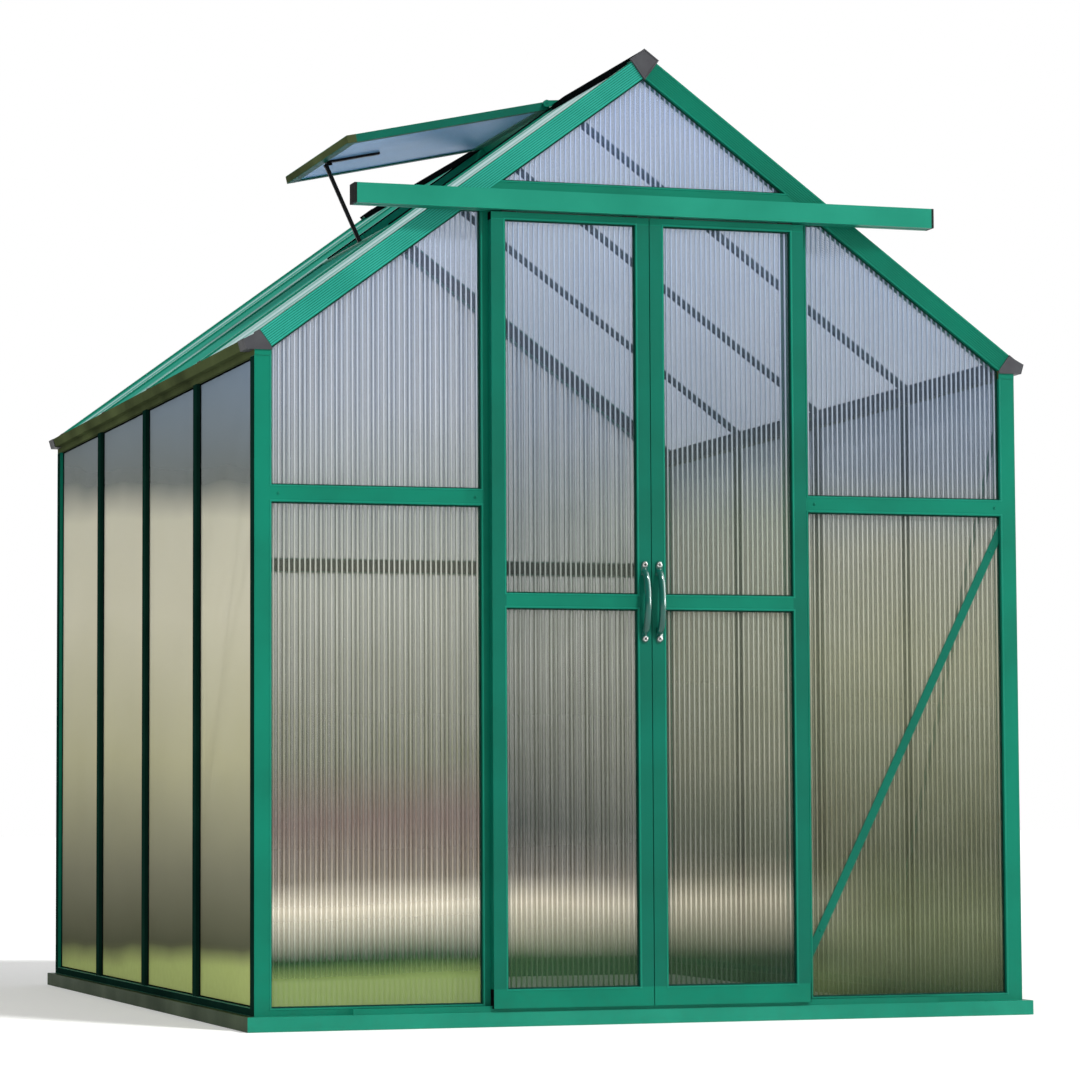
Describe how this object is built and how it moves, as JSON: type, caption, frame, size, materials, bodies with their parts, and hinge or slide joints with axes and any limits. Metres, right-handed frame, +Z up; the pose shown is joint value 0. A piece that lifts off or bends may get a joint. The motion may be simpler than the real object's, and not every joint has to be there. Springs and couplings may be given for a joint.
{
  "type": "greenhouse",
  "caption": "Walk-in gable greenhouse: green aluminium frame, twin-wall panes, sliding double doors hung on an overhanging track, and a hinged roof vent on a stay",
  "frame": {"origin": "centre of the bounding box on the ground under the sill", "axes": "+X to the right seen from the doors, +Y from the doors to the rear gable, +Z up"},
  "size_m": [1.952, 2.573, 2.304],
  "materials": {
    "frame_green": "green powder coat, satin",
    "door_green": "green powder coat, satin",
    "handle_green": "green anodised, glossy",
    "wall_pane": "clear twin-wall sheet with fine ribs",
    "roof_pane": "clear twin-wall sheet with fine ribs",
    "door_pane": "clear twin-wall sheet with fine ribs",
    "cap_grey": "moulded, matt dark grey",
    "stop_black": "moulded, matt black",
    "key_steel": "zinc plated",
    "screw_steel": "bright",
    "roller_white": "moulded nylon",
    "stay_black": "black paint, satin"
  },
  "bodies": {
    "frame": {"sill_front": "frame_green", "sill_rear": "frame_green", "sill_left": "frame_green", "sill_right": "frame_green", "base_glazing_rails": "frame_green", "post_front_left": "frame_green", "post_front_right": "frame_green", "post_rear_left": "frame_green", "post_rear_right": "frame_green", "left_mullions": "frame_green", "right_mullions": "frame_green", "left_gutter": "frame_green", "right_gutter": "frame_green", "ridge_beam": "frame_green", "rafter_front_left": "frame_green", "rafter_front_right": "frame_green", "rafter_rear_left": "frame_green", "rafter_rear_right": "frame_green", "left_roof_bars": "frame_green", "right_roof_bars": "frame_green", "left_jamb": "frame_green", "right_jamb": "frame_green", "mid_rails": "frame_green", "door_header": "frame_green", "door_track": "frame_green", "bottom_guide": "frame_green", "diagonal_braces": "frame_green", "rear_uprights": "frame_green", "vent_sill": "frame_green", "vent_hinge_brackets": "frame_green", "left_wall_panes": "wall_pane", "right_wall_panes": "wall_pane", "front_panes": "wall_pane", "rear_panes": "wall_pane", "left_roof_panes": "roof_pane", "right_roof_panes": "roof_pane", "gutter_caps": "cap_grey", "ridge_caps": "cap_grey", "track_stops": "stop_black", "sill_corner_keys": "key_steel"},
    "left_door": {"left_door_stiles": "door_green", "left_door_rails": "door_green", "left_door_panes": "door_pane", "left_door_handle": "handle_green", "left_handle_screws": "screw_steel", "left_door_hangers": "key_steel"},
    "right_door": {"right_door_stiles": "door_green", "right_door_rails": "door_green", "right_door_panes": "door_pane", "right_door_handle": "handle_green", "right_handle_screws": "screw_steel", "right_door_hangers": "key_steel"},
    "left_outer_wheel": {"left_roller_outer": "roller_white"},
    "left_inner_wheel": {"left_roller_inner": "roller_white"},
    "right_inner_wheel": {"right_roller_inner": "roller_white"},
    "right_outer_wheel": {"right_roller_outer": "roller_white"},
    "vent": {"vent_frame": "door_green", "vent_pane": "roof_pane", "vent_stay_bracket": "stay_black"},
    "stay": {"vent_stay": "stay_black"}
  },
  "joints": [
    {"name": "left_door_slide", "type": "slide", "parent": "frame", "child": "left_door", "axis": [-1, 0, 0], "range_m": [0, 0.325]},
    {"name": "right_door_slide", "type": "slide", "parent": "frame", "child": "right_door", "axis": [1, 0, 0], "range_m": [0, 0.325]},
    {"name": "left_inner_roll", "type": "hinge", "parent": "left_door", "child": "left_inner_wheel", "pos_m": [-0.046, -1.2575, 1.9123], "axis": [0, -1, 0], "range_deg": [0, 1440]},
    {"name": "left_outer_roll", "type": "hinge", "parent": "left_door", "child": "left_outer_wheel", "pos_m": [-0.346, -1.2575, 1.9123], "axis": [0, -1, 0], "range_deg": [0, 1440]},
    {"name": "right_inner_roll", "type": "hinge", "parent": "right_door", "child": "right_inner_wheel", "pos_m": [0.046, -1.2575, 1.9123], "axis": [0, 1, 0], "range_deg": [0, 1440]},
    {"name": "right_outer_roll", "type": "hinge", "parent": "right_door", "child": "right_outer_wheel", "pos_m": [0.346, -1.2575, 1.9123], "axis": [0, 1, 0], "range_deg": [0, 1440]},
    {"name": "vent_hinge", "type": "hinge", "parent": "frame", "child": "vent", "pos_m": [-0.0473, -0.28475, 2.28147], "axis": [0, 1, 0], "range_deg": [-24.3, 0]},
    {"name": "stay_pivot", "type": "hinge", "parent": "vent", "child": "stay", "pos_m": [-0.53917, -0.28475, 2.15261], "axis": [0, 1, 0], "range_deg": [-77.8, 0]}
  ],
  "couplings": [
    {"joint": "left_inner_roll", "follows": "left_door_slide", "rad_per_m": 76.923},
    {"joint": "left_outer_roll", "follows": "left_door_slide", "rad_per_m": 76.923},
    {"joint": "right_inner_roll", "follows": "right_door_slide", "rad_per_m": 76.923},
    {"joint": "right_outer_roll", "follows": "right_door_slide", "rad_per_m": 76.923},
    {"joint": "stay_pivot", "follows": "vent_hinge", "ratio": 3.1925}
  ]
}
